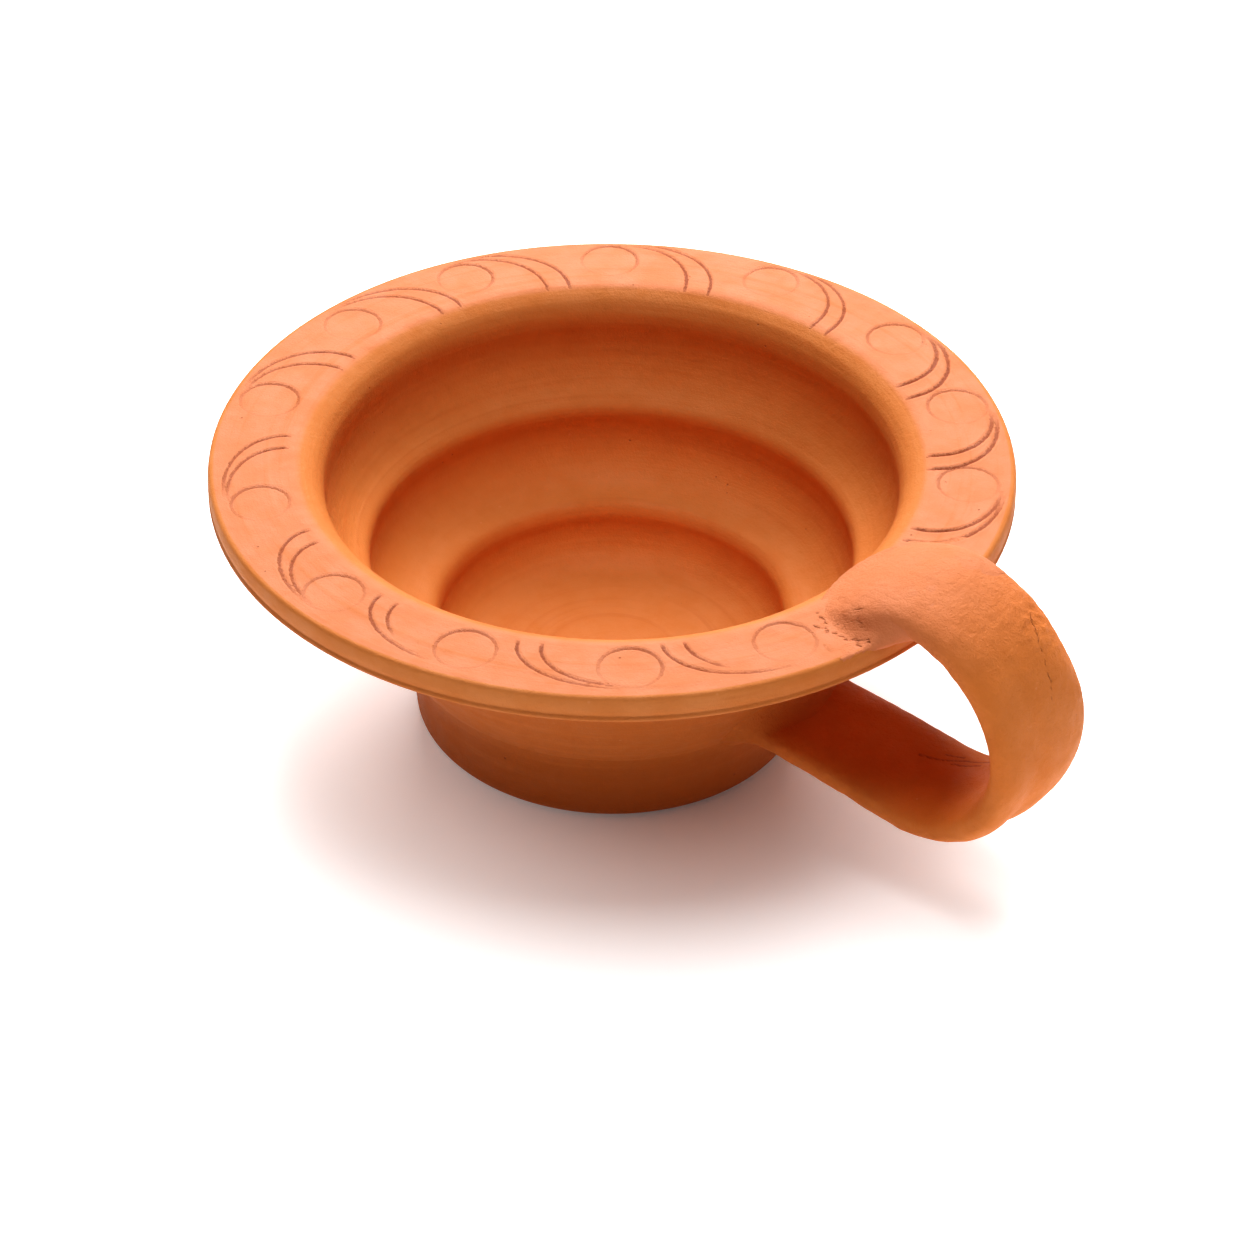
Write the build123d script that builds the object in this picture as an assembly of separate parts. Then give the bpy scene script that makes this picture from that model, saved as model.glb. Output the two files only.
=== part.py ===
"""Terracotta diya cup: a thrown bowl with a wide flange, on a solid foot, with one strap handle.

Millimetres. The origin is the centre of the face that the foot rests on, +Z is up, and +X points
from the cup's axis to the handle. The potter joins five pieces of clay, and each is one solid:
foot, bowl, strap_handle, upper_luting_clay and lower_luting_clay. They meet face to face.
"""

import os

from build123d import *

# Flange
FLANGE_TOP_Z = 50.5
FLANGE_THICKNESS = 4.5
FLANGE_EDGE_R = 65.0
FLANGE_BULGE = 0.5
FLANGE_EDGE_ROUND = 0.8
FLANGE_FLAT_FROM_R = 52.5
FLANGE_UNDERSIDE_Z = FLANGE_TOP_Z - FLANGE_THICKNESS
FLANGE_ROOT_R = 54.5

# Inside of the bowl: three throwing grooves, with a soft ledge under each of the upper two
MOUTH = (46.6, 45.0)
UPPER_GROOVE_END = (41.3, 33.6)
UPPER_LEDGE_END = (39.6, 31.0)
MIDDLE_GROOVE_END = (30.6, 19.8)
MIDDLE_LEDGE_END = (28.6, 17.0)
FLOOR_EDGE = (21.0, 9.8)
FLOOR_Z = 9.5

# Outside of the bowl: a straight flare from the waist, where the foot ends, up to the flange
SHOULDER = (50.6, 43.0)
WAIST = (36.4, 16.8)

# Bottom of the bowl, a shallow cone seated in the foot
SEAT_EDGE = (28.0, 5.5)

# Outside of the foot
FOOT_FACE_R = 30.2
FOOT_EDGE_ROUND_TOP = (32.6, 3.4)
FOOT_SIDE = (33.3, 10.0)

# Strap section: a flat lens with round edges
STRAP_WIDTH = 22.0
STRAP_THICKNESS = 7.0
STRAP_CHEEK_HALF_WIDTH = 8.5
STRAP_CHEEK_HALF_THICKNESS = 2.7

# Strap centreline in the plane of the loop: where it starts, its heading, and its tangent arcs
STRAP_START = (57.0, 50.5)
STRAP_START_HEADING = 38.0
STRAP_ARCS = (
    ("root", 12.0, -50.0),
    ("crown", 22.9, -57.0),
    ("side", 16.9, -63.5),
    ("heel", 17.6, -54.0),
    ("run to the wall", 300.0, 6.5),
)

# Soft clay worked round the strap's two ends: a low dome on the flange, a bar along the wall
DOME_CENTRE_R = 60.5
DOME_HEIGHT = 4.6
DOME_SPHERE_R = 23.0
BAR_CENTRE = (36.0, 17.0)
BAR_R = 7.5
BAR_LENGTH = 26.0


def turned(*edges):
    """Solid of revolution about +Z of a closed outline drawn as (radius, height)."""
    outline = make_face(Plane.XZ * (Curve() + list(edges)))
    return revolve(outline, Axis.Z)


def bowl():
    """Wall and flange in one piece: grooved inside, flared outside, with a flat-topped flange."""
    shoulder_arc_middle = (48.6, 48.9)
    edge_top_start = (FLANGE_EDGE_R - FLANGE_EDGE_ROUND, FLANGE_TOP_Z)
    edge_top_end = (FLANGE_EDGE_R, FLANGE_TOP_Z - FLANGE_EDGE_ROUND)
    edge_widest = (FLANGE_EDGE_R + FLANGE_BULGE, FLANGE_TOP_Z - FLANGE_THICKNESS / 2)
    edge_bottom = (FLANGE_EDGE_R - FLANGE_BULGE, FLANGE_UNDERSIDE_Z)
    flange_root = (FLANGE_ROOT_R, FLANGE_UNDERSIDE_Z)
    return turned(
        Line((0, FLOOR_Z), FLOOR_EDGE),
        ThreePointArc(FLOOR_EDGE, (26.8, 12.1), MIDDLE_LEDGE_END),
        ThreePointArc(MIDDLE_LEDGE_END, (29.2, 18.8), MIDDLE_GROOVE_END),
        ThreePointArc(MIDDLE_GROOVE_END, (38.0, 23.8), UPPER_LEDGE_END),
        ThreePointArc(UPPER_LEDGE_END, (40.2, 32.7), UPPER_GROOVE_END),
        ThreePointArc(UPPER_GROOVE_END, (45.3, 38.2), MOUTH),
        ThreePointArc(MOUTH, shoulder_arc_middle, (FLANGE_FLAT_FROM_R, FLANGE_TOP_Z)),
        Line((FLANGE_FLAT_FROM_R, FLANGE_TOP_Z), edge_top_start),
        RadiusArc(edge_top_start, edge_top_end, FLANGE_EDGE_ROUND),
        ThreePointArc(edge_top_end, edge_widest, edge_bottom),
        Line(edge_bottom, flange_root),
        ThreePointArc(flange_root, (52.0, 45.0), SHOULDER),
        Line(SHOULDER, WAIST),
        Line(WAIST, SEAT_EDGE),
        Line(SEAT_EDGE, (0, SEAT_EDGE[1])),
        Line((0, SEAT_EDGE[1]), (0, FLOOR_Z)),
    )


def outside_of_foot():
    """Edges of the foot from the centre of its flat face up to the waist."""
    return (
        Line((0, 0), (FOOT_FACE_R, 0)),
        ThreePointArc((FOOT_FACE_R, 0), (31.9, 1.2), FOOT_EDGE_ROUND_TOP),
        Line(FOOT_EDGE_ROUND_TOP, FOOT_SIDE),
        ThreePointArc(FOOT_SIDE, (34.2, 13.7), WAIST),
    )


def foot():
    """Shallow clay pad that the bowl is seated in, with a rounded lower edge and a coved top."""
    return turned(
        *outside_of_foot(),
        Line(WAIST, SEAT_EDGE),
        Line(SEAT_EDGE, (0, SEAT_EDGE[1])),
        Line((0, SEAT_EDGE[1]), (0, 0)),
    )


def thrown_outside():
    """Everything inside the outer surface of the foot and the flare, filled in."""
    return turned(
        *outside_of_foot(),
        Line(WAIST, SHOULDER),
        Line(SHOULDER, (0, SHOULDER[1])),
        Line((0, SHOULDER[1]), (0, 0)),
    )


def strap_path():
    """Tangent arcs in the plane of the loop, from the flange out, down and back to the wall."""
    point = Vector(*STRAP_START)
    heading = Vector(1, 0).rotate(Axis.Z, STRAP_START_HEADING)
    arcs = []
    for _, radius, turn in STRAP_ARCS:
        arc = JernArc(point, heading, radius, turn)
        arcs.append(arc)
        point = arc @ 1
        heading = arc % 1
    return Plane.XZ * Wire(arcs)


def strap_section(path):
    """Lens with round edges, square to the start of the path and as wide as the strap along Y."""
    cheek_x = STRAP_CHEEK_HALF_WIDTH
    cheek_y = STRAP_CHEEK_HALF_THICKNESS
    face_y = STRAP_THICKNESS / 2
    edge_x = STRAP_WIDTH / 2
    lens = make_face(
        Curve()
        + [
            ThreePointArc((-cheek_x, cheek_y), (0, face_y), (cheek_x, cheek_y)),
            ThreePointArc((cheek_x, cheek_y), (edge_x, 0), (cheek_x, -cheek_y)),
            ThreePointArc((cheek_x, -cheek_y), (0, -face_y), (-cheek_x, -cheek_y)),
            ThreePointArc((-cheek_x, -cheek_y), (-edge_x, 0), (-cheek_x, cheek_y)),
        ]
    )
    return Plane(origin=path @ 0, x_dir=(0, 1, 0), z_dir=path % 0) * lens


def pulled_strap():
    """The strap as it is pulled and bent, with both ends running on into the thrown clay."""
    path = strap_path()
    return sweep(strap_section(path), path)


def upper_luting_clay(whole_strap):
    """Low dome on top of the flange that the strap's root comes out of."""
    ball = Pos(DOME_CENTRE_R, 0, FLANGE_TOP_Z + DOME_HEIGHT - DOME_SPHERE_R) * Sphere(DOME_SPHERE_R)
    on_flange = Pos(0, 0, FLANGE_TOP_Z)
    upright = (Align.CENTER, Align.CENTER, Align.MIN)
    flange_disc = on_flange * Cylinder(FLANGE_EDGE_R - FLANGE_EDGE_ROUND, 2 * DOME_HEIGHT, align=upright)
    mouth_disc = on_flange * Cylinder(FLANGE_FLAT_FROM_R, 2 * DOME_HEIGHT, align=upright)
    return (ball & flange_disc) - mouth_disc - whole_strap


def lower_luting_clay(outside, whole_strap):
    """Bar of clay pressed along the wall, above, below and at both sides of the strap's end."""
    bar = Pos(BAR_CENTRE[0], 0, BAR_CENTRE[1]) * Rot(90, 0, 0) * Cylinder(BAR_R, BAR_LENGTH)
    return bar - outside - whole_strap


bowl_part = bowl()
outside = thrown_outside()
whole_strap = pulled_strap()

pieces = {
    "foot": foot(),
    "bowl": bowl_part,
    "strap_handle": whole_strap - outside - bowl_part,
    "upper_luting_clay": upper_luting_clay(whole_strap),
    "lower_luting_clay": lower_luting_clay(outside, whole_strap),
}

os.makedirs("parts", exist_ok=True)
for node, solid in pieces.items():
    export_step(solid, f"parts/{node}.step")
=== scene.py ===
"""Terracotta diya cup with a strap handle: the clay as it comes from the kiln, on a pale floor."""

from math import ceil, cos, pi, radians, sin, sqrt

import bpy
import numpy as np
from mathutils import Matrix, Vector


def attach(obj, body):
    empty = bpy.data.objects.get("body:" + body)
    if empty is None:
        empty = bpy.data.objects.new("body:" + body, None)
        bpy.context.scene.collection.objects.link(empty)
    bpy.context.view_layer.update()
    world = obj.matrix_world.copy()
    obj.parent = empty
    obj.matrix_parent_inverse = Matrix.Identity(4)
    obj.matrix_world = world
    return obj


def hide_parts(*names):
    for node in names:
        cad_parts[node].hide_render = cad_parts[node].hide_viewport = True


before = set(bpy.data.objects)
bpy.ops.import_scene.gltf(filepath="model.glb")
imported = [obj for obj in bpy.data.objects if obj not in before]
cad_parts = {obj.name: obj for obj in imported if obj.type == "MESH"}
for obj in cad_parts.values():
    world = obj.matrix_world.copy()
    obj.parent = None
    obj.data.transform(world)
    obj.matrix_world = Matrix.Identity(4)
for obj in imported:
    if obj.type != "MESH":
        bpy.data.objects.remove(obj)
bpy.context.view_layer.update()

# ---------------------------------------------------------------------------------------------
# The camera. It stands above the cup and to the right of the handle's plane, with a long lens,
# and looks down at a point beside the bowl, so that the handle comes forward on the right.
# ---------------------------------------------------------------------------------------------
MM = 0.001
VIEW_AZIMUTH = radians(39.5)
VIEW_ELEVATION = radians(37.84)
VIEW_DISTANCE = 675.8 * MM
VIEW_AIM = Vector((10.2, -8.4, 25.0)) * MM
VIEW_ROLL = radians(0.5)
VIEW_LENS_MM = 114.8

towards_camera = Vector((
    sin(VIEW_AZIMUTH) * cos(VIEW_ELEVATION),
    -cos(VIEW_AZIMUTH) * cos(VIEW_ELEVATION),
    sin(VIEW_ELEVATION),
))
camera = bpy.data.objects.new("camera", bpy.data.cameras.new("camera"))
camera.data.lens = VIEW_LENS_MM
camera.data.clip_start = 0.01
camera.location = towards_camera * VIEW_DISTANCE
looking = (VIEW_AIM - camera.location).to_track_quat("-Z", "Y").to_matrix()
camera.rotation_euler = (looking @ Matrix.Rotation(VIEW_ROLL, 3, "Z")).to_euler()
bpy.context.scene.collection.objects.link(camera)
bpy.context.scene.camera = camera

# ---------------------------------------------------------------------------------------------
# The bowl: fine red clay thrown on the wheel in one piece with its flange, three grooves left
# inside by the potter's fingers. The border on the flange is cut and stamped leather-hard.
# Lengths in this and the later sections are millimetres until the mesh is made.
# ---------------------------------------------------------------------------------------------
FLANGE_TOP_Z = 50.5
FLANGE_UNDERSIDE_Z = 46.0
FLANGE_EDGE_R = 65.0
BORDER_INNER_R = 49.9
BORDER_OUTER_R = 64.3
WAIST = (36.4, 16.8)
SHOULDER = (50.6, 43.0)

BOWL_COLUMNS = 160
BORDER_COLUMNS = 8 * BOWL_COLUMNS
BORDER_ROWS = 56
WAVE_COUNT = 22


def arc(start, through, end, step):
    """Points on the circle through three points, about a step apart, without the last point.

    In the complex plane the centre is a - (a - b)(w - |w|^2) / (2i Im w), with w = (c - a)/(b - a).
    """
    a, b, c = (complex(*p) for p in (start, through, end))
    w = (c - a) / (b - a)
    centre = a - (a - b) * (w - abs(w) ** 2) / (2j * w.imag)
    turn = np.angle((c - centre) / (a - centre))
    bends_left = ((b - a).conjugate() * (c - b)).imag > 0
    if bends_left and turn < 0:
        turn += 2 * pi
    if not bends_left and turn > 0:
        turn -= 2 * pi
    count = max(2, ceil(abs(turn * (a - centre)) / step))
    at = centre + (a - centre) * np.exp(1j * turn * np.arange(count) / count)
    return np.column_stack([at.real, at.imag])


def line(start, end, step):
    """Points on a straight run, about a step apart, without the last point."""
    start, end = np.array(start, float), np.array(end, float)
    count = max(1, ceil(np.linalg.norm(end - start) / step))
    return start + (end - start) * (np.arange(count) / count)[:, None]


def softened(outline, times):
    """Rounds an outline's corners: each point moves half way to the middle of its neighbours."""
    for _ in range(times):
        outline[1:-1] = (outline[:-2] + 2 * outline[1:-1] + outline[2:]) / 4
    return outline


def waves(points, length, seed):
    """Unevenness of hand-worked clay, about -1 to 1: plane waves of many directions added up.

    The sum over k of sin(2 pi p . d_k / length_k + phase_k), over sqrt(2 x number of waves).
    """
    draw = np.random.default_rng(seed)
    directions = draw.normal(size=(WAVE_COUNT, 3))
    directions /= np.linalg.norm(directions, axis=1, keepdims=True)
    lengths = length * draw.uniform(0.7, 1.6, WAVE_COUNT)
    phases = draw.uniform(0, 2 * pi, WAVE_COUNT)
    total = np.zeros(len(points))
    for direction, wavelength, phase in zip(directions, lengths, phases):
        total += np.sin(points @ direction * (2 * pi / wavelength) + phase)
    return total / sqrt(2 * WAVE_COUNT)


def make_piece(name, points, faces, **attributes):
    """A smooth-shaded mesh object at the origin, from points in millimetres and lists of faces."""
    mesh = bpy.data.meshes.new(name)
    mesh.from_pydata((points * MM).tolist(), [], faces)
    for key, values in attributes.items():
        mesh.attributes.new(key, "FLOAT", "POINT").data.foreach_set("value", values.astype(np.float32))
    mesh.polygons.foreach_set("use_smooth", np.ones(len(mesh.polygons), bool))
    mesh.validate()
    mesh.update()
    piece = bpy.data.objects.new(name, mesh)
    bpy.context.scene.collection.objects.link(piece)
    return piece


def turned_faces(counts):
    """Faces between rings of points round an axis, from the first pole to the last.

    Rings with equal counts are joined by quads. Where the count changes, one face spans each
    column of the coarser ring and has all the finer ring's points on its other side.
    """
    starts = np.concatenate([[0], np.cumsum(counts)])
    faces = []
    for low, high, n, m in zip(starts[:-2], starts[1:-1], counts[:-1], counts[1:]):
        if n == m:
            j = np.arange(n)
            k = (j + 1) % n
            faces += np.column_stack([low + j, low + k, high + k, high + j]).tolist()
            continue
        j = np.arange(min(n, m))
        ratio = max(n, m) // min(n, m)
        fine = (j[:, None] * ratio + np.arange(ratio + 1)) % max(n, m)
        coarse = np.column_stack([j, (j + 1) % min(n, m)])
        if n < m:
            faces += np.column_stack([low + coarse, high + fine[:, ::-1]]).tolist()
        else:
            faces += np.column_stack([low + fine, high + coarse[:, ::-1]]).tolist()
    ring = np.arange(counts[0])
    faces.append(ring[::-1].tolist())
    faces.append((starts[-2] + np.arange(counts[-1])).tolist())
    return faces


def turned_points(outline, counts):
    """Radius, angle and height of every point, where each outline point (r, z) becomes a ring of
    its own count of points at equal angles."""
    angle = np.concatenate([np.arange(n) * (2 * pi / n) for n in counts])
    radius = np.repeat(outline[:, 0], counts)
    height = np.repeat(outline[:, 1], counts)
    return radius, angle, height


inside_and_shoulder = np.vstack([
    line((1.5, 9.5), (21.0, 9.8), 2.2),
    arc((21.0, 9.8), (26.8, 12.1), (28.6, 17.0), 0.8),
    arc((28.6, 17.0), (29.2, 18.8), (30.6, 19.8), 0.6),
    arc((30.6, 19.8), (38.0, 23.8), (39.6, 31.0), 0.9),
    arc((39.6, 31.0), (40.2, 32.7), (41.3, 33.6), 0.6),
    arc((41.3, 33.6), (45.3, 38.2), (46.5, 45.0), 0.9),
    arc((46.5, 45.0), (47.5, 48.0), (BORDER_INNER_R, 49.9), 0.6),
])
border_step = (BORDER_OUTER_R - BORDER_INNER_R) / BORDER_ROWS
border = np.vstack([
    arc((BORDER_INNER_R, 49.9), (51.0, 50.35), (52.3, FLANGE_TOP_Z), border_step),
    line((52.3, FLANGE_TOP_Z), (BORDER_OUTER_R, FLANGE_TOP_Z), border_step),
])
edge_and_outside = np.vstack([
    arc((BORDER_OUTER_R, FLANGE_TOP_Z), (64.8, 50.3), (65.05, 49.8), 0.25),
    arc((65.05, 49.8), (65.2, 48.6), (65.0, 47.3), 0.4),
    arc((65.0, 47.3), (64.9, 47.1), (65.1, 46.9), 0.2),
    arc((65.1, 46.9), (65.2, 46.4), (64.7, FLANGE_UNDERSIDE_Z), 0.2),
    line((64.7, FLANGE_UNDERSIDE_Z), (64.2, FLANGE_UNDERSIDE_Z), 0.3),
    line((64.2, FLANGE_UNDERSIDE_Z), (54.5, FLANGE_UNDERSIDE_Z), 1.5),
    arc((54.5, FLANGE_UNDERSIDE_Z), (52.0, 45.0), SHOULDER, 0.9),
    line(SHOULDER, WAIST, 1.4),
    line(WAIST, (28.0, 5.5), 3.5),
    line((28.0, 5.5), (2.0, 5.5), 8.0),
])
bowl_outline = softened(np.vstack([inside_and_shoulder, border, edge_and_outside]), 2)
bowl_counts = np.full(len(bowl_outline), BOWL_COLUMNS)
bowl_counts[len(inside_and_shoulder):len(inside_and_shoulder) + len(border)] = BORDER_COLUMNS
bowl_r, bowl_angle, bowl_z = turned_points(bowl_outline, bowl_counts)

# The border: each pair of strokes starts at the mouth and curls clockwise out to the edge, and
# a tube's end is pressed in beside it. The potter spaced them by eye, in degrees from the handle.
STROKE_STARTS = (12, 35, 58, 84.5, 111, 138, 160, 187, 215, 244.5, 267.5, 294, 318)
STROKE_SPAN = 16.0
STROKE_GAP = 4.3
STROKE_HALF_WIDTH = 0.25
STROKE_DEPTH = 0.28
STROKE_BURR = 0.05
STAMP_OFFSET = 18.3
STAMP_CENTRE_R = 57.9
STAMP_R = 4.75
STAMP_DEPTH = 0.13
BAND_OFF_CENTRE = 1.1
BAND_LEAN = radians(100)
STAMP_LEAN = radians(130)
DEEP_STROKES_BEFORE = 70
DEEP_STROKE_PRESS = 1.2
FAR_FROM_CUT = 9.0


def stroke_marks(x, y, start, span, inner_r, outer_r, share):
    """Distance from a stroke, and how hard it was pressed there, for points (x, y).

    The stroke is a quarter ellipse in (angle, radius): it leaves the mouth square to it and
    arrives along the edge, a = start + span (1 - cos t), r = inner + (outer - inner) sin t.
    """
    t = np.linspace(0, share * pi / 2, 90)
    angle = np.radians(start + span * (1 - np.cos(t)))
    radius = inner_r + (outer_r - inner_r) * np.sin(t)
    px, py = radius * np.cos(angle), radius * np.sin(angle)
    gap = np.hypot(x[:, None] - px, y[:, None] - py)
    nearest = gap.argmin(1)
    along = nearest / (len(t) - 1)
    press = np.clip(1.15 - 0.55 * along, 0, 1)
    press *= np.clip((1 - along) * 6, 0.25, 1)
    press *= np.clip(0.4 + 14 * along, 0, 1)
    return gap[np.arange(len(x)), nearest], press


def line_gap(u, v, corners):
    """Distance of points (u, v) from a broken line through its corners."""
    nearest = np.full(u.shape, FAR_FROM_CUT)
    for (u1, v1), (u2, v2) in zip(corners[:-1], corners[1:]):
        du, dv = u2 - u1, v2 - v1
        along = np.clip(((u - u1) * du + (v - v1) * dv) / (du * du + dv * dv), 0, 1)
        nearest = np.minimum(nearest, np.hypot(u - u1 - along * du, v - v1 - along * dv))
    return nearest


# Cracks that opened in the flange beside the strap as it dried, and the potter's short scratches
CRACKS = (
    ((53.4, -16.4), (54.8, -15.8), (55.9, -16.1), (57.6, -15.6), (59.3, -15.9), (61.0, -14.9),
     (62.4, -14.4)),
    ((51.8, -13.3), (53.0, -14.0), (54.6, -14.5)),
    ((60.6, -15.2), (61.8, -16.2)),
)
CRACK_FINENESS = 1.5
SCRATCH_COUNT = 9
SCRATCH_CENTRE = (56.6, -12.6)
SCRATCH_SPREAD = (2.0, 1.3)


def crack_distance(x, y):
    """Distance from the drying cracks, and from the short scratches that run along the strap.

    x and y are first shifted by small sines of each other, so that no crack runs quite straight.
    """
    draw = np.random.default_rng(43)
    x = x + 0.22 * np.sin(4.1 * y) + 0.10 * np.sin(9.7 * y + 1)
    y = y + 0.22 * np.sin(3.7 * x + 2) + 0.10 * np.sin(8.9 * x)
    nearest = CRACK_FINENESS * np.min([line_gap(x, y, crack) for crack in CRACKS], axis=0)
    for _ in range(SCRATCH_COUNT):
        x1, y1 = draw.normal(SCRATCH_CENTRE, SCRATCH_SPREAD)
        x2, y2 = x1 + draw.uniform(0.8, 2.0), y1 + draw.uniform(-0.4, 0.6)
        scratch = line_gap(x, y, ((x1, y1), (x2, y2))) + draw.uniform(0.2, 0.28)
        nearest = np.minimum(nearest, scratch)
    return nearest


def border_marks(x, y):
    """The nearest cut line's distance and pressure, and how deep a stamp sinks at each point."""
    draw = np.random.default_rng(7)
    gap = np.full(len(x), FAR_FROM_CUT)
    press = np.zeros(len(x))
    sunk = np.zeros(len(x))
    angle = np.degrees(np.arctan2(y, x))

    def keep_nearer(near, new_gap, new_press):
        closer = new_gap < gap[near]
        gap[near] = np.where(closer, new_gap, gap[near])
        press[near] = np.where(closer, new_press, press[near])

    for start in STROKE_STARTS:
        near = np.flatnonzero(np.abs((angle - start - 15 + 180) % 360 - 180) < 20)
        shift = BAND_OFF_CENTRE * cos(radians(start) - BAND_LEAN)
        inner_r = 51.6 - shift + draw.uniform(-0.4, 0.4)
        outer_r = 63.2 + shift + draw.uniform(-0.2, 0.2)
        span = STROKE_SPAN + draw.uniform(-1.5, 1.5)
        second = STROKE_GAP + draw.uniform(-0.7, 0.5)
        shorter = draw.choice([1.0, 1.0, 0.55])
        hard = DEEP_STROKE_PRESS if start < DEEP_STROKES_BEFORE else 1.0
        first_gap, first_press = stroke_marks(x[near], y[near], start, span, inner_r, outer_r, 1.0)
        keep_nearer(near, first_gap / hard, first_press * hard)
        other_gap, other_press = stroke_marks(
            x[near], y[near], start + second, span - second + 1.2, inner_r, outer_r - 0.5, shorter
        )
        keep_nearer(near, other_gap / hard, other_press * hard)

        stamp_angle = radians(start + STAMP_OFFSET + draw.uniform(-1.2, 1.2))
        stamp_r = STAMP_CENTRE_R + 0.7 * shift + draw.uniform(-0.4, 0.4)
        dx = x[near] - stamp_r * cos(stamp_angle)
        dy = y[near] - stamp_r * sin(stamp_angle)
        away = np.hypot(dx, dy)
        size = STAMP_R + draw.uniform(-0.15, 0.15)
        side = np.cos(np.arctan2(dy, dx) - STAMP_LEAN - draw.uniform(-0.5, 0.5))
        ring_press = np.clip(0.40 + 0.32 * side, 0.10, 1) * draw.uniform(0.6, 1.0)
        keep_nearer(near, np.abs(away - size), ring_press)
        tilt = np.clip(0.5 + 0.5 * side * away / size, 0, 1)
        sunk[near] += np.clip((size - away) / 0.45 + 0.5, 0, 1) * tilt * STAMP_DEPTH
    beside_strap = np.flatnonzero(np.hypot(x - 57, y + 15) < 10)
    keep_nearer(beside_strap, crack_distance(x[beside_strap], y[beside_strap]), 0.75)
    return gap, press, sunk


def cut_depth(gap, press):
    """A cut's section: a rounded groove, exp(-(gap / width)^2), with a low burr on both sides."""
    groove = np.exp(-((gap / STROKE_HALF_WIDTH) ** 2))
    burr = np.exp(-(((gap - 2.1 * STROKE_HALF_WIDTH) / STROKE_HALF_WIDTH) ** 2))
    return press * (groove * STROKE_DEPTH - burr * STROKE_BURR)


# Pitch of the potter's finger lines and of a coarser set over them, and a line's height
FINGER_PITCH = 2.4
COARSE_PITCH = 3.7
FINGER_LINE = 0.035
COARSE_LINE = 0.02


def thrown(radius, angle, height, seed):
    """Points of thrown clay: the turned form, a little out of round, with faint finger lines.

    Finger lines are waves in height that climb one step in each turn of the wheel.
    """
    x, y = radius * np.cos(angle), radius * np.sin(angle)
    points = np.column_stack([x, y, height])
    climb = height + radius * 0.35 + angle / (2 * pi) * FINGER_PITCH
    lines = FINGER_LINE * np.sin(climb * (2 * pi / FINGER_PITCH))
    lines += COARSE_LINE * np.sin(climb * (2 * pi / COARSE_PITCH) + 1.0)
    lines *= 0.6 + 0.4 * waves(points, 30, seed)
    out = 1 + (0.16 * waves(points, 70, seed + 1) + lines) / np.maximum(radius, 8)
    points[:, :2] *= out[:, None]
    points[:, 2] += 0.14 * waves(points, 60, seed + 2) * np.clip(height / 20, 0, 1)
    return points


bowl_points = thrown(bowl_r, bowl_angle, bowl_z, seed=11)
incision_gap = np.full(len(bowl_points), FAR_FROM_CUT)
incision_press = np.zeros(len(bowl_points))
on_border = np.flatnonzero(np.repeat(bowl_counts == BORDER_COLUMNS, bowl_counts))
gap, press, sunk = border_marks(bowl_points[on_border, 0], bowl_points[on_border, 1])
incision_gap[on_border] = gap
incision_press[on_border] = press
bowl_points[on_border, 2] -= cut_depth(gap, press) + sunk
bowl_points[on_border, 2] += 0.03 * waves(bowl_points[on_border], 3.0, 15)

bowl_faces = turned_faces(bowl_counts)


def soft_step(value, low, high):
    """0 below low, 1 above high, and smooth between them; low may be the larger."""
    share = np.clip((value - low) / (high - low), 0, 1)
    return share * share * (3 - 2 * share)


# Painted highlight makes the flange's flat top paler and rosier than the inside, and painted
# shade makes the outside below the flange's edge deeper. A piece's painted light is above 0
# where highlight is painted and below 0 where shade is painted.
FLANGE_HIGHLIGHT_PAINT = 0.9
OUTSIDE_SHADE_PAINT = 0.75

outside = np.arange(len(bowl_counts)) >= len(inside_and_shoulder) + len(border)
outside = np.repeat(outside, bowl_counts)
flange_tone = FLANGE_HIGHLIGHT_PAINT * soft_step(bowl_z, 49.9, 50.48) * (1 - outside)
outside_tone = OUTSIDE_SHADE_PAINT * soft_step(bowl_z, 49.0, 44.0) * outside
bowl = make_piece(
    "bowl_thrown", bowl_points, bowl_faces,
    incision_gap=incision_gap, incision_press=incision_press, tone=flange_tone - outside_tone,
)


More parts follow.
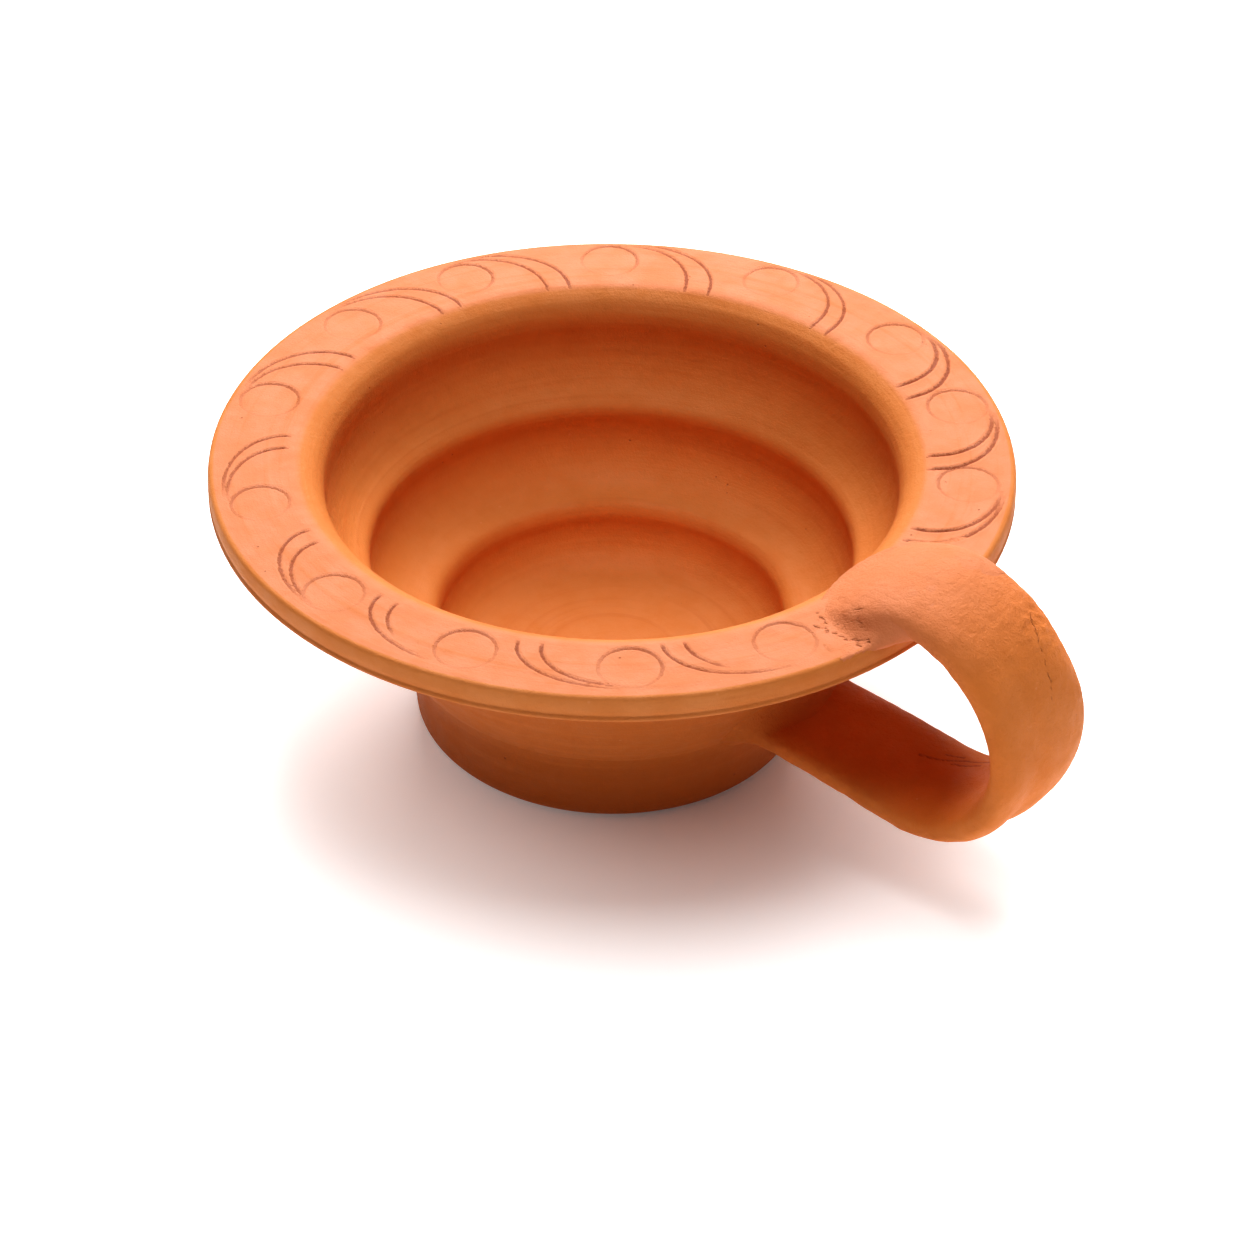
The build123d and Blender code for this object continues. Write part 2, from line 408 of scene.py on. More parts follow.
class Shader:
    """A material's nodes, added one by one and wired as they are added."""

    def __init__(self, name):
        self.material = bpy.data.materials.new(name)
        self.material.use_nodes = True
        self.nodes = self.material.node_tree.nodes
        self.links = self.material.node_tree.links
        self.surface = self.nodes["Principled BSDF"]
        self.place = self.nodes.new("ShaderNodeTexCoord").outputs["Object"]

    def wire(self, source, socket):
        """A socket takes another node's output, or a plain value of its own."""
        if isinstance(source, bpy.types.NodeSocket):
            self.links.new(source, socket)
        elif source is not None:
            socket.default_value = source

    def noise(self, scale, detail=3.0, roughness=0.55, place=None):
        """Cloudy pattern, 0 to 1, with its scale in waves per metre."""
        node = self.nodes.new("ShaderNodeTexNoise")
        self.links.new(place or self.place, node.inputs["Vector"])
        for key, value in (("Scale", scale), ("Detail", detail), ("Roughness", roughness)):
            node.inputs[key].default_value = value
        return node.outputs["Fac"]

    def place_on_wheel(self):
        """Coordinates (radius, height, a little of x), so that a pattern runs round the axis."""
        parts = self.nodes.new("ShaderNodeSeparateXYZ")
        self.links.new(self.place, parts.inputs["Vector"])
        x, y, z = parts.outputs
        squares = self.math("ADD", self.math("MULTIPLY", x, x), self.math("MULTIPLY", y, y))
        radius = self.math("SQRT", squares)
        joined_up = self.nodes.new("ShaderNodeCombineXYZ")
        for source, socket in zip((radius, z, self.math("MULTIPLY", x, 0.05)), joined_up.inputs):
            self.links.new(source, socket)
        return joined_up.outputs["Vector"]

    def specks(self, scale, size):
        """Scattered dots: 1 inside a speck and 0 outside, at most one in each cell of the scale."""
        node = self.nodes.new("ShaderNodeTexVoronoi")
        self.links.new(self.place, node.inputs["Vector"])
        node.inputs["Scale"].default_value = scale
        return self.ramp(node.outputs["Distance"], size, size * 0.45)

    def ramp(self, source, low, high):
        """0 at low and below, 1 at high and above, smooth between; low may be the larger."""
        node = self.nodes.new("ShaderNodeMapRange")
        node.interpolation_type = "SMOOTHSTEP"
        self.wire(source, node.inputs["Value"])
        flipped = low > high
        node.inputs["From Min"].default_value = min(low, high)
        node.inputs["From Max"].default_value = max(low, high)
        node.inputs["To Min"].default_value = 1.0 if flipped else 0.0
        node.inputs["To Max"].default_value = 0.0 if flipped else 1.0
        return node.outputs["Result"]

    def math(self, operation, a, b=None, clamp=False):
        """One operation of Blender's Math node on a and b, clamped to 0 to 1 if asked."""
        node = self.nodes.new("ShaderNodeMath")
        node.operation = operation
        node.use_clamp = clamp
        self.wire(a, node.inputs[0])
        self.wire(b, node.inputs[1])
        return node.outputs["Value"]

    def mix(self, share, a, b):
        """Colour a where share is 0 and colour b where it is 1."""
        node = self.nodes.new("ShaderNodeMix")
        node.data_type = "RGBA"
        self.wire(share, node.inputs[0])
        self.wire(a, node.inputs[6])
        self.wire(b, node.inputs[7])
        return node.outputs[2]

    def attribute(self, name):
        """A number stored on the piece's own points."""
        node = self.nodes.new("ShaderNodeAttribute")
        node.attribute_name = name
        return node.outputs["Fac"]

    def bump(self, height, distance, normal=None):
        """The normal of a surface raised by height times distance, on top of an earlier one."""
        node = self.nodes.new("ShaderNodeBump")
        node.inputs["Distance"].default_value = distance
        node.inputs["Strength"].default_value = 1.0
        self.wire(height, node.inputs["Height"])
        self.wire(normal, node.inputs["Normal"])
        return node.outputs["Normal"]


# Fired clay: the body, its mottling, its specks, and the colours of painted highlight and painted shade
CLAY = (0.635, 0.205, 0.044, 1)
CLAY_PALE = (0.690, 0.255, 0.074, 1)
CLAY_DEEP = (0.560, 0.155, 0.028, 1)
CLAY_SPECK = (0.250, 0.060, 0.020, 1)
CLAY_GROG = (0.860, 0.420, 0.200, 1)
CLAY_PAINTED_HIGHLIGHT = (0.660, 0.216, 0.092, 1)
CLAY_PAINTED_SHADE = (0.420, 0.098, 0.008, 1)
CLAY_STRAP = (0.740, 0.205, 0.030, 1)
CUT_SHADE = (0.300, 0.060, 0.012, 1)
SMOOTHEST = 0.62
ROUGHEST = 0.78


def fired_clay(name, grain, pits, base=CLAY, grogged=0.5, thrown_streaks=0.0, cut=False):
    """Unglazed fired clay: mottled by the fire, grainy, dark pits, pale grog specks, painted highlight and
    shade.
    """
    shader = Shader(name)
    mottle = shader.ramp(shader.noise(38, 4, 0.6), 0.35, 0.68)
    cloud = shader.ramp(shader.noise(160, 5, 0.6), 0.35, 0.7)
    fine = shader.noise(2600, 4, 0.7)
    colour = shader.mix(shader.math("MULTIPLY", mottle, 0.35), base, CLAY_PALE)
    colour = shader.mix(shader.math("MULTIPLY", cloud, 0.28), colour, CLAY_DEEP)
    colour = shader.mix(shader.math("MULTIPLY", shader.ramp(fine, 0.55, 0.8), 0.25), colour, CLAY_DEEP)
    scattered = shader.ramp(shader.noise(90, 2), 0.6, 0.66)
    pit = shader.math("MULTIPLY", shader.specks(420, 0.10), scattered)
    grog = shader.math("MULTIPLY", shader.specks(300, 0.09), shader.ramp(shader.noise(120, 2), 0.55, 0.65))
    # Painted light: a piece's value above 0 mixes in the painted highlight colour, below 0 the painted
    # shade colour
    tone = shader.attribute("tone")
    colour = shader.mix(shader.math("MAXIMUM", tone, 0.0), colour, CLAY_PAINTED_HIGHLIGHT)
    colour = shader.mix(shader.math("MAXIMUM", shader.math("MULTIPLY", tone, -1.0), 0.0), colour, CLAY_PAINTED_SHADE)
    if thrown_streaks:
        streak = shader.noise(520, 3, 0.6, shader.place_on_wheel())
        dark_streak = shader.math("MULTIPLY", shader.ramp(streak, 0.52, 0.72), thrown_streaks)
        colour = shader.mix(dark_streak, colour, CLAY_DEEP)
    colour = shader.mix(shader.math("MULTIPLY", pit, pits), colour, CLAY_SPECK)
    colour = shader.mix(shader.math("MULTIPLY", grog, grogged), colour, CLAY_GROG)
    normal = shader.bump(fine, grain * 0.00010)
    normal = shader.bump(shader.noise(700, 4, 0.6), grain * 0.00012, normal)
    if thrown_streaks:
        normal = shader.bump(streak, thrown_streaks * 0.00030, normal)
    normal = shader.bump(pit, -0.0002 * pits, normal)
    # Painted shade in the cuts, cracks, scratches and smears, darkest at a line's core and where pressed
    # hardest
    if cut:
        gap = shader.attribute("incision_gap")
        press = shader.attribute("incision_press")
        torn = shader.math("MULTIPLY", shader.math("SUBTRACT", shader.noise(1100, 4, 0.7), 0.5), 0.55)
        line_core = shader.ramp(shader.math("ADD", gap, torn), 0.40, 0.08)
        dark = shader.math("MULTIPLY", line_core, press)
        colour = shader.mix(shader.math("MULTIPLY", dark, 0.95, clamp=True), colour, CUT_SHADE)
        normal = shader.bump(dark, -0.0003, normal)
    shader.wire(colour, shader.surface.inputs["Base Color"])
    rough = shader.nodes.new("ShaderNodeMapRange")
    shader.wire(cloud, rough.inputs["Value"])
    rough.inputs["To Min"].default_value = SMOOTHEST
    rough.inputs["To Max"].default_value = ROUGHEST
    shader.wire(rough.outputs["Result"], shader.surface.inputs["Roughness"])
    shader.surface.inputs["Specular IOR Level"].default_value = 0.25
    shader.wire(normal, shader.surface.inputs["Normal"])
    return shader.material


bowl.data.materials.append(fired_clay(
    "thrown clay", grain=0.8, pits=0.5, grogged=0.15, thrown_streaks=0.4, cut=True
))
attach(bowl, "root")
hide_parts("bowl")

# ---------------------------------------------------------------------------------------------
# The foot: a thick pad of the same clay under the bowl, rounded at its lower edge and coved up
# into the flare. Its face is as the twisted wire left it when the cup was cut off the wheel.
# ---------------------------------------------------------------------------------------------
FOOT_COLUMNS = 320
FOOT_FACE_R = 30.2
FOOT_SEAT = (28.2, 5.6)
FOOT_LIP = (34.6, 18.6)
FOOT_SIDE_TOP = (33.3, 10.0)
FOOT_SIDE_BOTTOM = (32.6, 3.4)
FOOT_SHADE_PAINT = 0.75
FOOT_LOW_SHADE_PAINT = 0.2
WIRE_PIN = (44, -30)
WIRE_PITCH = 2.1
WIRE_RIDGE = 0.22

foot_outline = softened(np.vstack([
    line((1.0, 5.6), FOOT_SEAT, 5.0),
    line(FOOT_SEAT, (33.6, 16.0), 2.5),
    line((33.6, 16.0), FOOT_LIP, 0.8),
    line(FOOT_LIP, WAIST, 0.8),
    arc(WAIST, (34.2, 13.7), FOOT_SIDE_TOP, 0.6),
    line(FOOT_SIDE_TOP, FOOT_SIDE_BOTTOM, 0.6),
    arc(FOOT_SIDE_BOTTOM, (31.9, 1.2), (FOOT_FACE_R, 0.0), 0.35),
    line((FOOT_FACE_R, 0.0), (0.8, 0.0), 0.5),
]), 2)
foot_counts = np.full(len(foot_outline), FOOT_COLUMNS)
foot_r, foot_angle, foot_z = turned_points(foot_outline, foot_counts)
foot_points = thrown(foot_r, foot_angle, foot_z, seed=11)


def wire_marks(x, y):
    """Loops left by the cutting wire: ridges at even steps from a pin outside the foot, 0 to 1."""
    away = np.hypot(x - WIRE_PIN[0], y - WIRE_PIN[1]) + 0.8 * np.sin(x * 0.21)
    return 0.5 + 0.5 * np.sin(away * (2 * pi / WIRE_PITCH))


on_face = (foot_z < 0.15) & (foot_r < FOOT_FACE_R)
lift = WIRE_RIDGE * wire_marks(foot_points[:, 0], foot_points[:, 1])
lift *= np.clip((FOOT_FACE_R - foot_r) / 3, 0, 1)
foot_points[:, 2] = np.where(on_face, lift, np.maximum(foot_points[:, 2], 0))
# Painted shade: the flange shades the foot, so it is deeper all over and deeper still towards the floor
foot_tone = -FOOT_SHADE_PAINT - FOOT_LOW_SHADE_PAINT * soft_step(foot_z, 17.0, 11.0)
foot = make_piece("foot_pad", foot_points, turned_faces(foot_counts), tone=foot_tone)
foot.data.materials.append(fired_clay("foot clay", grain=0.9, pits=0.6, grogged=0.2, thrown_streaks=0.3))
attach(foot, "root")
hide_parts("foot")

# ---------------------------------------------------------------------------------------------
# The strap handle: a strap of softer clay pulled between wet fingers, bent over into one loop.
# Its section is a flat lens, with a shallow finger groove along the outer face.
# ---------------------------------------------------------------------------------------------
WALL_Z = (FOOT_SIDE_BOTTOM[1], FOOT_SIDE_TOP[1], 13.7, WAIST[1], SHOULDER[1])
WALL_R = (FOOT_SIDE_BOTTOM[0], FOOT_SIDE_TOP[0], 34.2, WAIST[0], SHOULDER[0])
STRAP_START = (57.0, FLANGE_TOP_Z)
STRAP_START_HEADING = 38.0
STRAP_ARCS = ((12.0, -50.0), (22.9, -57.0), (16.9, -63.5), (17.6, -54.0), (300.0, 6.5))
STRAP_END_X = 33.6
STRAP_END_DEPTH = 1.6
STRAP_HALF_WIDTH = 10.8
STRAP_HALF_THICKNESS = 3.1
STRAP_SQUARENESS = 2.7
STRAP_STEP = 0.25
STRAP_AROUND = 168
STRAP_GROOVE = (-4.0, 2.6, 0.75)
STRAP_SWELL = (2.5, 5.0, 0.20)


def strap_line():
    """Centreline of the strap in the plane y = 0: x, z, heading and length, a step apart.

    The heading is a broken line over the length, one slope for each bend, softened; the
    centreline is the running sum of (cos heading, sin heading).
    """
    heading = [radians(STRAP_START_HEADING)]
    for radius, turn in STRAP_ARCS:
        count = round(radius * abs(radians(turn)) / STRAP_STEP)
        heading += (heading[-1] + radians(turn) * np.arange(1, count + 1) / count).tolist()
    heading = np.array(heading)
    soft = np.convolve(np.pad(heading, 12, mode="edge"), np.ones(25) / 25, mode="valid")
    x = STRAP_START[0] + np.cumsum(np.cos(soft)) * STRAP_STEP
    z = STRAP_START[1] + np.cumsum(np.sin(soft)) * STRAP_STEP
    kept = x > STRAP_END_X
    return x[kept], z[kept], soft[kept], np.arange(kept.sum()) * STRAP_STEP


line_x, line_z, line_heading, line_length = strap_line()
strap_share = line_length / line_length[-1]
half_width = STRAP_HALF_WIDTH * (1 + 0.10 * np.exp(-strap_share * 9) - 0.02 * np.sin(strap_share * 9))
half_thick = STRAP_HALF_THICKNESS * (1 - 0.07 * np.sin(strap_share * 7 + 1))


def strap_points():
    """The section carried along the centreline, as a grid of length by turn about the section.

    Section: (a |cos t|^(2/n), b |sin t|^(2/n)) with the signs of cos and sin, less the groove
    along the outer face, and with a low swell beside it. Both are depth exp(-((v - middle) / width)^2).
    """
    t = np.arange(STRAP_AROUND) * (2 * pi / STRAP_AROUND)
    power = 2 / STRAP_SQUARENESS
    across = half_width[:, None] * np.sign(np.cos(t)) * np.abs(np.cos(t)) ** power
    out = half_thick[:, None] * np.sign(np.sin(t)) * np.abs(np.sin(t)) ** power
    outer_face = (np.sin(t) > 0) * np.abs(np.sin(t)) ** 0.5
    groove, swell = (
        depth * np.exp(-(((across - middle) / width) ** 2))
        for middle, width, depth in (STRAP_GROOVE, STRAP_SWELL)
    )
    valley = groove - swell
    deepening = np.clip(strap_share * 3.2 - 0.5, 0, 1)[:, None]
    out = out - valley * outer_face * deepening
    nx, nz = -np.sin(line_heading)[:, None], np.cos(line_heading)[:, None]
    return np.stack([line_x[:, None] + out * nx, across, line_z[:, None] + out * nz], axis=-1)


def grid_normals(grid):
    """Outward normals of a closed tube grid: the cross product of its two directions."""
    along = np.gradient(grid, axis=0)
    around = np.roll(grid, -1, axis=1) - np.roll(grid, 1, axis=1)
    normal = np.cross(around, along)
    return normal / np.linalg.norm(normal, axis=2, keepdims=True)


strap_grid = strap_points()
strap_normal = grid_normals(strap_grid).reshape(-1, 3)
strap_flat = strap_grid.reshape(-1, 3)
strap_relief = (
    0.16 * waves(strap_flat, 14, 31)
    + 0.05 * waves(strap_flat, 4, 32)
    + 0.02 * waves(strap_flat, 1.4, 33)
)
near_root = np.exp(-((np.repeat(line_length, STRAP_AROUND) - 8) / 14) ** 2)
wrinkled = waves(strap_flat * np.array([1.0, 0.35, 1.0]), 1.6, 34)
strap_relief += 0.03 * near_root * wrinkled

# A drying crack and finger smears, as (length along the strap, place across it)
HAIRLINE = ((20.0, 6.6), (23.0, 4.7), (25.5, 3.6), (28.0, 2.7), (32.0, 1.5))
SMEARS = (
    ((59.5, 7.6), (62.5, 6.2), (65.0, 5.4), (68.5, 3.0), (72.0, 1.6)),
    ((61.5, 5.2), (64.0, 4.0), (66.5, 3.2)),
    ((66.0, 6.0), (69.0, 4.6)),
)
HAIRLINE_FINENESS = 2.2
HAIRLINE_PRESS = 0.45
SMEAR_PRESS = 0.6
SMEAR_DEPTH = 0.22
SMEAR_HALF_WIDTH = 0.35

mark_u = np.repeat(line_length, STRAP_AROUND)
mark_v = strap_flat[:, 1]
on_outer_face = np.tile(np.arange(STRAP_AROUND) < STRAP_AROUND / 2, len(line_length))
wavy_v = mark_v + 0.15 * np.sin(1.9 * mark_u) + 0.1 * np.sin(4.3 * mark_u)
hairline_gap = HAIRLINE_FINENESS * line_gap(mark_u, wavy_v, HAIRLINE)
smear_gap = np.min([line_gap(mark_u, mark_v, smear) for smear in SMEARS], axis=0)
strap_gap = np.where(on_outer_face, np.minimum(hairline_gap, FAR_FROM_CUT), smear_gap)
strap_press = np.where(on_outer_face, HAIRLINE_PRESS, SMEAR_PRESS)
strap_relief -= SMEAR_DEPTH * np.exp(-((strap_gap / SMEAR_HALF_WIDTH) ** 2)) * strap_press
pocked = np.exp(-(((mark_u - 21) / 5) ** 2) - ((mark_v - 6) / 4) ** 2) * on_outer_face
strap_relief += 0.12 * pocked * waves(strap_flat, 1.8, 35)
strap_flat = strap_flat + strap_normal * strap_relief[:, None]

# The strap's end stops inside the wall: nothing of it goes deeper than STRAP_END_DEPTH
strap_r = np.hypot(strap_flat[:, 0], strap_flat[:, 1])
held_r = np.interp(strap_flat[:, 2], WALL_Z, WALL_R) - STRAP_END_DEPTH
at_wall = (strap_flat[:, 2] < SHOULDER[1] - 3) & (strap_r < held_r)
strap_flat[:, :2] *= np.where(at_wall, held_r / strap_r, 1)[:, None]


def tube_faces(rows, around):
    """Quads of a tube grid, with a flat face at each end."""
    i, j = np.meshgrid(np.arange(rows - 1), np.arange(around), indexing="ij")
    k = (j + 1) % around
    quads = np.stack([i * around + j, (i + 1) * around + j, (i + 1) * around + k, i * around + k], -1)
    ends = [np.arange(around).tolist(), ((rows - 1) * around + np.arange(around))[::-1].tolist()]
    return quads.reshape(-1, 4).tolist() + ends


# Painted highlight at the root like the flange's, and painted shade in two steps, past the heel and at the
# wall
strap_tone = 0.8 * soft_step(mark_u, 26.0, 4.0)
for first, last in ((52.0, 62.0), (86.0, 96.0)):
    strap_tone -= 0.35 * soft_step(mark_u, first, last)
strap = make_piece(
    "strap_pulled", strap_flat, tube_faces(len(line_length), STRAP_AROUND),
    incision_gap=strap_gap, incision_press=strap_press, tone=strap_tone,
)
strap.data.materials.append(fired_clay("strap clay", grain=1.9, pits=0.8, base=CLAY_STRAP, cut=True))
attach(strap, "root")
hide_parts("strap_handle")

# ---------------------------------------------------------------------------------------------
# The luting clay: soft clay worked with a finger over the strap's two joints, on the flange and
# on the lower wall. It fills the corner and feathers out to nothing on both pieces.
# ---------------------------------------------------------------------------------------------
FEATHER = 0.10
SKIN_STEP = 0.33
FLANGE_ROUNDING = 0.8
LUTING_LOWEST_ON_FLANGE = 47.2
WALL_LEFT = 0.8
CRACK_RIDGE = 0.10

# Inside of the bowl beside the strap's lower end, which the luting clay stays clear of
INNER_Z = (9.5, 12.1, 17.0, 19.8, 21.4, 23.8, 31.0)
INNER_R = (22.0, 26.8, 28.9, 31.5, 35.6, 38.2, 39.8)


def strap_distance(x, y, z):
    """Distance out of the strap's surface, near it: F / |grad F| of the section's own form.

    F = (|u / a|^n + |v / b|^n)^(1 / n) - 1, with u across the strap and v square to its face.
    """
    flat_x, flat_z = x[:, 0, :].ravel(), z[:, 0, :].ravel()
    nearest = ((flat_x[:, None] - line_x) ** 2 + (flat_z[:, None] - line_z) ** 2).argmin(1)
    heading = line_heading[nearest]
    v = -(flat_x - line_x[nearest]) * np.sin(heading) + (flat_z - line_z[nearest]) * np.cos(heading)
    shape = (x.shape[0], 1, x.shape[2])
    v = np.abs(v).reshape(shape) + 1e-6
    u = np.abs(y) + 1e-6
    a = half_width[nearest].reshape(shape)
    b = half_thick[nearest].reshape(shape)
    n = STRAP_SQUARENESS
    total = (u / a) ** n + (v / b) ** n
    value = total ** (1 / n)
    slope = total ** (1 / n - 1) * np.hypot(u ** (n - 1) / a**n, v ** (n - 1) / b**n)
    return (value - 1) / slope


def flange_distance(x, y, z):
    """Distance out of the flange: a ring of rounded rectangular section."""
    across = np.hypot(x, y) - (FLANGE_EDGE_R + 0.2 - FLANGE_ROUNDING)
    middle = (FLANGE_TOP_Z + FLANGE_UNDERSIDE_Z) / 2
    up = np.abs(z - middle) - (FLANGE_TOP_Z - middle - FLANGE_ROUNDING)
    outside_core = np.hypot(np.maximum(across, 0), np.maximum(up, 0))
    return outside_core + np.minimum(np.maximum(across, up), 0) - FLANGE_ROUNDING


def wall_distance(x, y, z):
    """Distance out of the foot's side and the flare above it, measured square to the flare."""
    lean = np.where(z > WAIST[1], 0.88, 0.97)
    return (np.hypot(x, y) - np.interp(z, WALL_Z, WALL_R)) * lean


def joined(one, other, reach):
    """Smooth union of two distances: below both by up to reach / 4 where they are nearly equal."""
    share = np.clip(0.5 + 0.5 * (other - one) / reach, 0, 1)
    return other * (1 - share) + one * share - reach * share * (1 - share)


def skin(field, low, high, step):
    """Skin where a field changes sign, from samples a step apart in a box between two corners.

    Each cell of the grid that the skin crosses has one point, the mean of the places where its
    edges are crossed, and each crossed edge has one face, through the four cells round it. The
    skin is closed only where it stays inside the box; lower_field runs out of its box at both ends
    in x, inside the thrown clay and inside the strap, and the skin is open there.
    """
    axes = [np.arange(a, b, step) for a, b in zip(low, high)]
    x, y, z = np.meshgrid(*axes, indexing="ij")
    value = field(x, y, z)
    place = np.stack([x, y, z], axis=-1)
    cells = tuple(n - 1 for n in value.shape)
    total = np.zeros(cells + (3,))
    count = np.zeros(cells)
    crossings = []
    for axis in range(3):
        head = [slice(None)] * 3
        tail = [slice(None)] * 3
        head[axis], tail[axis] = slice(0, -1), slice(1, None)
        a, b = value[tuple(head)], value[tuple(tail)]
        crossed = (a < 0) != (b < 0)
        share = np.where(crossed, a / np.where(crossed, a - b, 1), 0)[..., None]
        point = place[tuple(head)] * (1 - share) + place[tuple(tail)] * share
        crossings.append((crossed, a < 0))
        for first in (0, 1):
            for second in (0, 1):
                part = [slice(None)] * 3
                for other, side in zip([k for k in range(3) if k != axis], (first, second)):
                    part[other] = slice(side, side - 1 or None) if side else slice(0, -1)
                part = tuple(part)
                total += point[part] * crossed[part][..., None]
                count += crossed[part]
    used = count > 0
    index = np.full(cells, -1)
    index[used] = np.arange(used.sum())
    points = total[used] / count[used][:, None]
    faces = []
    for axis, (crossed, inside) in enumerate(crossings):
        first, second = [k for k in range(3) if k != axis]
        i = np.argwhere(crossed)
        for side in (first, second):
            i = i[(i[:, side] > 0) & (i[:, side] < cells[side])]
        corner = []
        for da, db in ((-1, -1), (0, -1), (0, 0), (-1, 0)):
            c = i.copy()
            c[:, first] += da
            c[:, second] += db
            corner.append(index[tuple(c.T)])
        quads = np.stack(corner, axis=1)
        backwards = ~inside[tuple(i.T)] ^ (axis == 1)
        quads[backwards] = quads[backwards][:, ::-1]
        faces += quads.tolist()
    return points, faces


def upper_field(x, y, z):
    """Strap and flange joined over the root, inside an egg of clay about it, and wrinkled."""
    inside_egg = 1 - np.sqrt(((x - 61) / 12.5) ** 2 + ((y + 1) / 19.5) ** 2 + ((z - 50) / 9.0) ** 2)
    reach = 0.3 + 8.0 * np.clip(inside_egg * 2.0, 0, 1) * soft_step(z, 47.5, 50.5)
    body = joined(strap_distance(x, y, z), flange_distance(x, y, z), reach) + FEATHER
    wrinkles = waves(np.column_stack([0.6 * x.ravel(), y.ravel(), z.ravel()]), 1.7, 41).reshape(x.shape)
    near_side = np.exp(-(((x - 57) / 5) ** 2) - ((y + 10) / 5) ** 2)
    body -= (0.02 + 0.07 * near_side) * wrinkles
    body += CRACK_RIDGE * np.exp(-((crack_distance(x, y) / 0.4) ** 2))
    return np.maximum(np.maximum(body, -inside_egg * 8), LUTING_LOWEST_ON_FLANGE - z)


def lower_field(x, y, z):
    """Strap and wall joined round the lower end, inside an egg of clay about it."""
    inside_egg = 1 - np.sqrt(((x - 37) / 12.0) ** 2 + (y / 16.8) ** 2 + ((z - 17) / 12.5) ** 2)
    reach = 0.6 + 7.0 * np.clip(inside_egg * 2.2, 0, 1)
    body = joined(strap_distance(x, y, z), wall_distance(x, y, z), reach) + 2 * FEATHER
    hollow = np.interp(z, INNER_Z, INNER_R) + WALL_LEFT - np.hypot(x, y)
    return np.maximum(np.maximum(body, -inside_egg * 10), hollow)


for name, node, field, low, high in (
    ("luting_on_flange", "upper_luting_clay", upper_field, (48, -21, 44), (74, 19, 59)),
    ("luting_on_wall", "lower_luting_clay", lower_field, (30, -17, 4), (49, 17, 30)),
):
    clay_points, clay_faces = skin(field, low, high, SKIN_STEP)
    clay_x, clay_y, clay_z = clay_points.T
    # Painted highlight on the luting clay's top at the flange, and painted shade on its lower part at the
    # wall
    clay_tone = 0.85 * soft_step(clay_z, 46.5, 49.5) - 0.72 * soft_step(clay_z, 40, 30)
    luting = make_piece(
        name, clay_points, clay_faces, tone=clay_tone,
        incision_gap=crack_distance(clay_x, clay_y), incision_press=np.full(len(clay_points), 0.6),
    )
    luting.data.materials.append(fired_clay(
        name.replace("_", " "), grain=1.9, pits=0.8, base=CLAY_STRAP, cut=True
    ))
    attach(luting, "root")
    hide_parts(node)

# ---------------------------------------------------------------------------------------------
# The studio, in metres: a wide white floor, a large soft lamp behind the cup that leaves its near
# side shaded, a second one overhead, and a weak card at the right that lifts the handle a little.
# ---------------------------------------------------------------------------------------------
FLOOR_HALF_SIZE = 12.0
FLOOR_COLOUR = (0.90, 0.90, 0.91, 1)
FLOOR_GLOW = 0.56
FLOOR_GLOW_FROM = 0.074
WINDOW_TURN = 177
WINDOW_ELEVATION = 42
LAMP_DISTANCE = 1.1
LAMP_SIZE = 0.55
WHITE = (1.0, 1.0, 1.0, 1)

floor_mesh = bpy.data.meshes.new("floor")
corners = [(-1, -1), (1, -1), (1, 1), (-1, 1)]
corners = [(x * FLOOR_HALF_SIZE, y * FLOOR_HALF_SIZE, 0) for x, y in corners]
floor_mesh.from_pydata(corners, [], [(0, 1, 2, 3)])
floor = bpy.data.objects.new("floor", floor_mesh)
bpy.context.scene.collection.objects.link(floor)

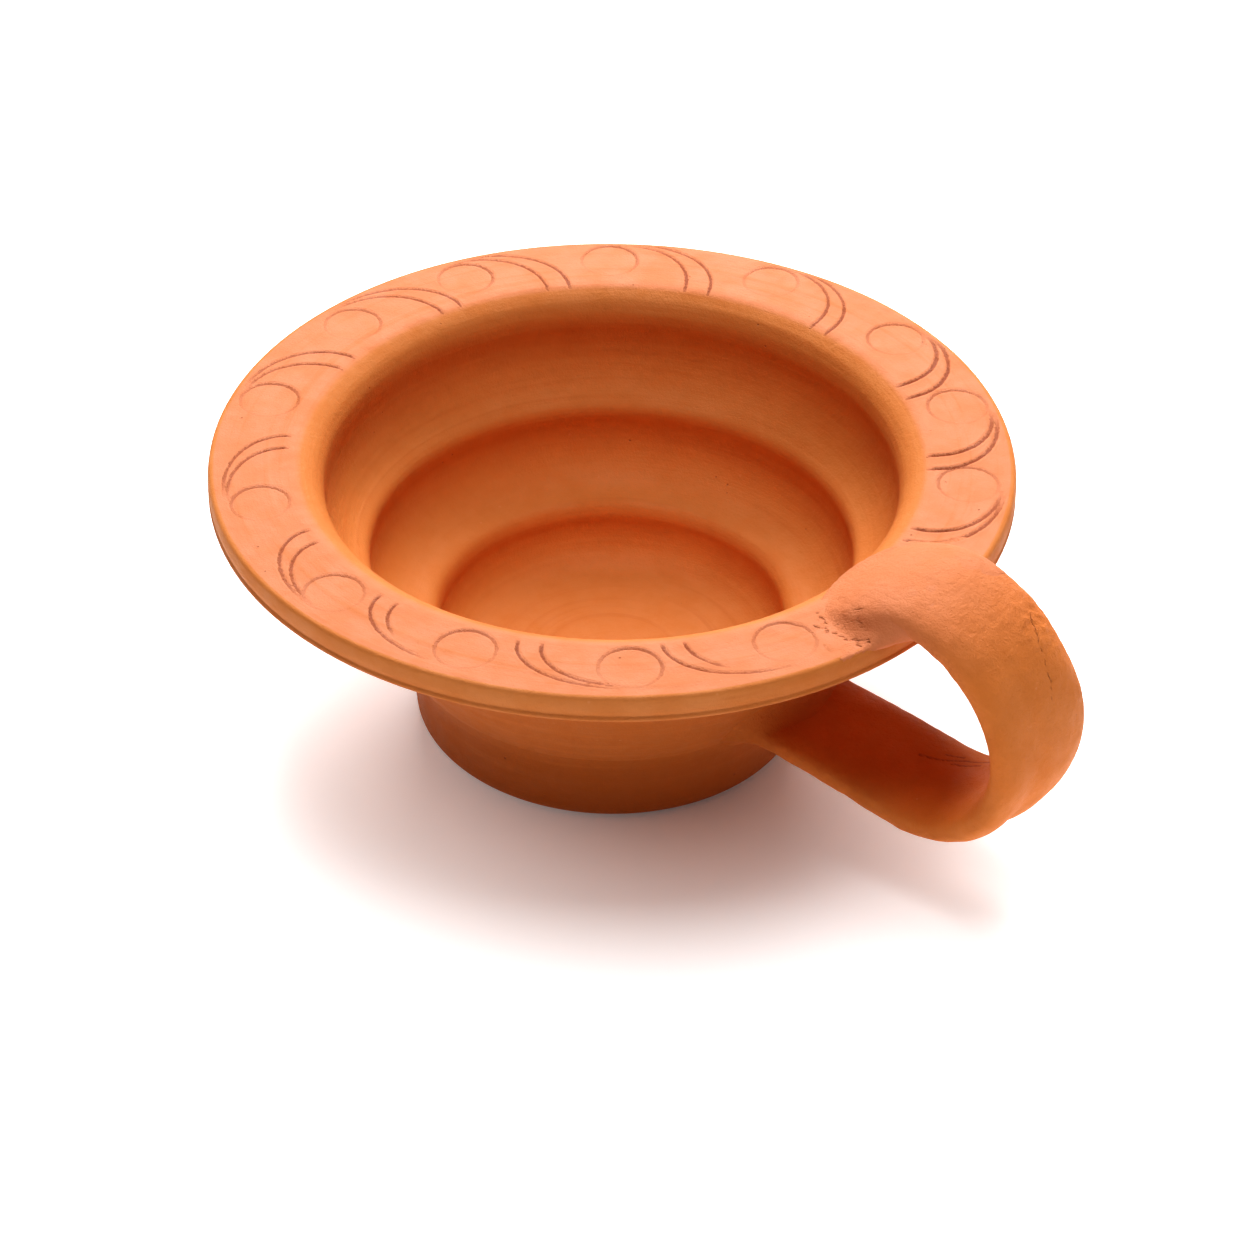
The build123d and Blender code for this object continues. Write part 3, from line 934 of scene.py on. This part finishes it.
# Painted light: the white paper glows though it is no lamp, and the glow fades to nothing under the cup and
# close round it
paper = Shader("white paper")
paper.surface.inputs["Roughness"].default_value = 0.9
paper.surface.inputs["Specular IOR Level"].default_value = 0.1
paper.surface.inputs["Base Color"].default_value = FLOOR_COLOUR
from_cup = paper.nodes.new("ShaderNodeMapping")
from_cup.inputs["Location"].default_value = (-0.011, 0.004, 0)
from_cup.inputs["Scale"].default_value = (0.80, 1, 1)
paper.links.new(paper.place, from_cup.inputs["Vector"])
away = paper.nodes.new("ShaderNodeVectorMath")
away.operation = "LENGTH"
paper.links.new(from_cup.outputs["Vector"], away.inputs[0])
shining = paper.ramp(away.outputs["Value"], 0.0, FLOOR_GLOW_FROM)
glow = paper.math("MULTIPLY", shining, FLOOR_GLOW)
paper.surface.inputs["Emission Color"].default_value = WHITE
paper.links.new(glow, paper.surface.inputs["Emission Strength"])
floor.data.materials.append(paper.material)


def lamp(name, turn, elevation, power):
    """Square soft light aimed at the bowl, its turn in degrees counted from the camera's side.

    It stands in the direction (sin a cos e, -cos a cos e, sin e), with a = azimuth + turn.
    """
    light = bpy.data.lights.new(name, "AREA")
    light.size = LAMP_SIZE
    light.energy = power
    lamp_object = bpy.data.objects.new(name, light)
    a = VIEW_AZIMUTH + radians(turn)
    e = radians(elevation)
    direction = Vector((sin(a) * cos(e), -cos(a) * cos(e), sin(e)))
    lamp_object.location = direction * LAMP_DISTANCE
    aim = Vector((0, 0, 30 * MM)) - lamp_object.location
    lamp_object.rotation_euler = aim.to_track_quat("-Z", "Y").to_euler()
    bpy.context.scene.collection.objects.link(lamp_object)


lamp("window behind", WINDOW_TURN, WINDOW_ELEVATION, 15.5)
lamp("lamp overhead", 0, 86, 6.3)
lamp("card right", 90, 20, 0.5)

# The room is dim overhead, with a pale band at the horizon that the floor runs into
world = bpy.data.worlds.new("studio")
world.use_nodes = True
room = world.node_tree
direction = room.nodes.new("ShaderNodeTexCoord")
height = room.nodes.new("ShaderNodeSeparateXYZ")
band = room.nodes.new("ShaderNodeMapRange")
band.interpolation_type = "SMOOTHSTEP"
for key, value in (("From Min", 0.06), ("From Max", 0.16), ("To Min", 0.50), ("To Max", 0.02)):
    band.inputs[key].default_value = value
room.links.new(direction.outputs["Generated"], height.inputs["Vector"])
room.links.new(height.outputs["Z"], band.inputs["Value"])
room.links.new(band.outputs["Result"], room.nodes["Background"].inputs["Strength"])
room.nodes["Background"].inputs["Color"].default_value = WHITE
bpy.context.scene.world = world
bpy.context.scene.view_settings.view_transform = "Standard"
bpy.context.scene.view_settings.look = "Medium High Contrast"
